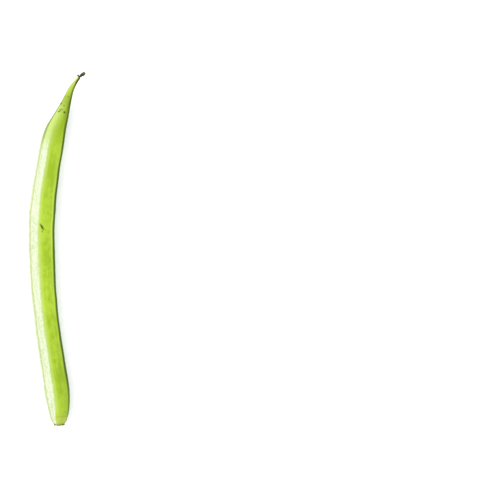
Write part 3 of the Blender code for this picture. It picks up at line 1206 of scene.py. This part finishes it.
def line_mark(place, start, end, width):
    """1 on the line from start to end, fading to 0 at that width from it."""
    step = end - start
    from_start = place.vector("SUBTRACT", start)
    feeds = [from_start, step]
    dot = add(place.tree, "ShaderNodeVectorMath", feeds, output="Value", operation="DOT_PRODUCT")
    share = (dot * (1 / step.length_squared)).math("MAXIMUM", 0.0).math("MINIMUM", 1.0)
    feeds = {"Vector": step, "Scale": share}
    nearest = add(place.tree, "ShaderNodeVectorMath", feeds, operation="SCALE")
    return from_start.vector("SUBTRACT", nearest).length().ramp(0.0, width, 1.0, 0.0)


def spot_mark(place, centre, radius):
    return place.vector("SUBTRACT", centre).length().ramp(0.0, radius, 1.0, 0.0)


wobble = add(tree, "ShaderNodeTexNoise", {"Vector": laid_out, "Scale": WOBBLES_PER_MM}, output="Color")
shaking = wobble.vector("SUBTRACT", (0.5, 0.5, 0.5)).scaled(WOBBLE_REACH)
shaky_place = object_place(tree).vector("ADD", shaking)
deepest = [SCRATCH[0].lerp(SCRATCH[1], share) for share in DEEPEST_SHARES]
marks = line_mark(shaky_place, *SCRATCH, SCRATCH_WIDTH) * 0.8
marks = marks.math("MAXIMUM", line_mark(shaky_place, *deepest, DEEPEST_WIDTH))
for centre, radius, strength in SPECKS:
    marks = marks.math("MAXIMUM", spot_mark(shaky_place, centre, radius * MM) * strength)
fleck_feeds = {"Vector": laid_out.vector("MULTIPLY", FLECK_STRETCH), "Scale": FLECKS_PER_MM}
from_fleck = add(tree, "ShaderNodeTexVoronoi", fleck_feeds, output="Distance")
marks = marks.math("MAXIMUM", from_fleck.ramp(*FLECK_SIZE, 0.5, 0.0))
colour = mixed(marks, colour, MARK_BROWN)

skin_roughness = blotches * 0.2 + frost * 0.15 + 0.6
skin_height = noise(laid_out, SKIN_GRAINS_PER_MM, detail=2.0) + streaks * 1.5 + marks * -1.2
finish(skin_finish, colour, skin_roughness, skin_height, SKIN_BUMP, gloss=0.1)

# %% [markdown]
# The hairs are dry and let the skin behind them show through. On the frosted back they are whitish, on the
# sides greener, and on the band of painted shade below they carry that painted shade, as dark as the skin
# there. They could be made see-through, but a colour near the skin's is simpler.

# %% The down's finish
HAIR_GREEN = screen(196, 214, 112)
HAIR_WHITE = screen(242, 246, 218)
HAIR_SHADE = screen(96, 122, 20)
PATCHES_PER_M = 900.0
HAIR_BUMP = 0.002 * MM
WHITE_LIFTS = (20.0, 55.0)
SHADED_LIFTS = (-15.0, 8.0)

down_finish.use_nodes = True
tree = down_finish.node_tree
patches = noise(object_place(tree), PATCHES_PER_M)
hair_lift = attribute(tree, "lift")
whitish = (patches + 0.5).ramp(0.3, 0.7) * hair_lift.ramp(*WHITE_LIFTS, 0.35, 1.0)
hair_colour = mixed(whitish, HAIR_GREEN, HAIR_WHITE)
# Painted shade: the hairs on the shaded band below take its dark green.
hair_colour = mixed(hair_lift.ramp(*SHADED_LIFTS, 0.85, 0.0), hair_colour, HAIR_SHADE)
finish(down_finish, hair_colour, patches * 0.2 + 0.6, patches, HAIR_BUMP, gloss=0.15)

# %% [markdown]
# The scar and the style are dead tissue: brown, dull and fibrous. The scar has paler bits where it is torn.
# The style is dark olive at its neck and pales where its club swells. Both show only a few pixels wide, so
# noise alone is enough.

# %% The scar's and the style's finishes
SCAR_DARK = screen(44, 36, 12)
SCAR_BROWN = screen(92, 78, 38)
SCAR_PALE = screen(170, 156, 96)
SCAR_GRAINS_PER_M = 2500.0
SCAR_BUMP = 0.08 * MM
STYLE_DARK = screen(36, 33, 2)
STYLE_OLIVE = screen(76, 70, 18)
STYLE_PALE = screen(126, 122, 76)
STYLE_GRAINS_PER_M = 3500.0
STYLE_BUMP = 0.06 * MM
CLUB_PALES = (1.5, 2.7)

scar_finish.use_nodes = True
tree = scar_finish.node_tree
scar_grain = noise(object_place(tree), SCAR_GRAINS_PER_M, detail=3.0, roughness=0.7)
scar_patches = noise(object_place(tree), PATCHES_PER_M)
scar_colour = mixed((scar_grain * 1.4 + 0.5).ramp(0.0, 1.0), SCAR_DARK, SCAR_BROWN)
scar_colour = mixed((scar_patches * 2.5 + 0.1).ramp(0.2, 0.8, 0.0, 0.45), scar_colour, SCAR_PALE)
finish(scar_finish, scar_colour, scar_grain * 0.2 + 0.8, scar_grain, SCAR_BUMP, gloss=0.25)

style_finish.use_nodes = True
tree = style_finish.node_tree
style_grain = noise(object_place(tree), STYLE_GRAINS_PER_M, detail=3.0, roughness=0.7)
paling = attribute(tree, "along").ramp(*CLUB_PALES, 0.0, 0.7)
style_colour = mixed((style_grain * 1.6 + 0.5).ramp(0.0, 1.0), STYLE_DARK, STYLE_OLIVE)
style_colour = mixed(paling, style_colour, STYLE_PALE)
finish(style_finish, style_colour, style_grain * 0.25 + 0.75, style_grain, STYLE_BUMP, gloss=0.15)

# %% [markdown]
# A wide white surface. It glows a little, which keeps the shadow pale and cool. Without the glow the shadow
# would be darker than in the photograph.

# %% The floor
FLOOR_REACH = 3.0
FLOOR_WHITE = (0.93, 0.93, 0.95, 1)
FLOOR_GLOW = (0.80, 0.76, 1.0, 1)
FLOOR_GLOW_STRENGTH = 0.25

corners = [(-1, -1, 0), (1, -1, 0), (1, 1, 0), (-1, 1, 0)]
floor_mesh = bpy.data.meshes.new("floor")
floor_mesh.from_pydata([Vector(corner) * FLOOR_REACH for corner in corners], [], [(0, 1, 2, 3)])
floor = placed("floor", floor_mesh)
floor_paint = bpy.data.materials.new("floor_white")
floor_paint.use_nodes = True
floor_shader = floor_paint.node_tree.nodes["Principled BSDF"]
feed(floor_shader, {"Base Color": FLOOR_WHITE, "Roughness": 0.9, "Specular IOR Level": 0.1})
feed(floor_shader, {"Emission Color": FLOOR_GLOW, "Emission Strength": FLOOR_GLOW_STRENGTH})
floor_mesh.materials.append(floor_paint)
print("floor", 2 * FLOOR_REACH, "m wide")

# %% [markdown]
# Light as in a bright room: a white sky all round and a large soft lamp at the upper left. The lamp is weak
# beside the sky, so the shadow is faint and soft. A single small lamp would be simpler, but its shadow
# would be hard.

# %% The light
SKY_COLOUR = (0.98, 0.99, 1.0, 1)
SKY_STRENGTH = 1.1
KEY_PLACE = Vector((0.35, 0.75, 1.0))  # in metres
KEY_SIZE = 0.9
KEY_POWER = 7.0

world = bpy.data.worlds.new("studio")
world.use_nodes = True
feed(world.node_tree.nodes["Background"], {"Color": SKY_COLOUR, "Strength": SKY_STRENGTH})
bpy.context.scene.world = world
bpy.context.scene.view_settings.view_transform = "Standard"

key_light = bpy.data.lights.new("key", "AREA")
key_light.shape = "SQUARE"
key_light.size = KEY_SIZE
key_light.energy = KEY_POWER
key = placed("key", key_light)
key.location = KEY_PLACE
key.rotation_euler = (-KEY_PLACE).to_track_quat("-Z", "Y").to_euler()
print("key lamp", round(KEY_PLACE.length, 2), "m from the pod")

# %% [markdown]
# The threads and the single hair and fibre have done their work, so they leave.

# %% The helpers leave
for helper in helpers:
    bpy.data.objects.remove(helper)
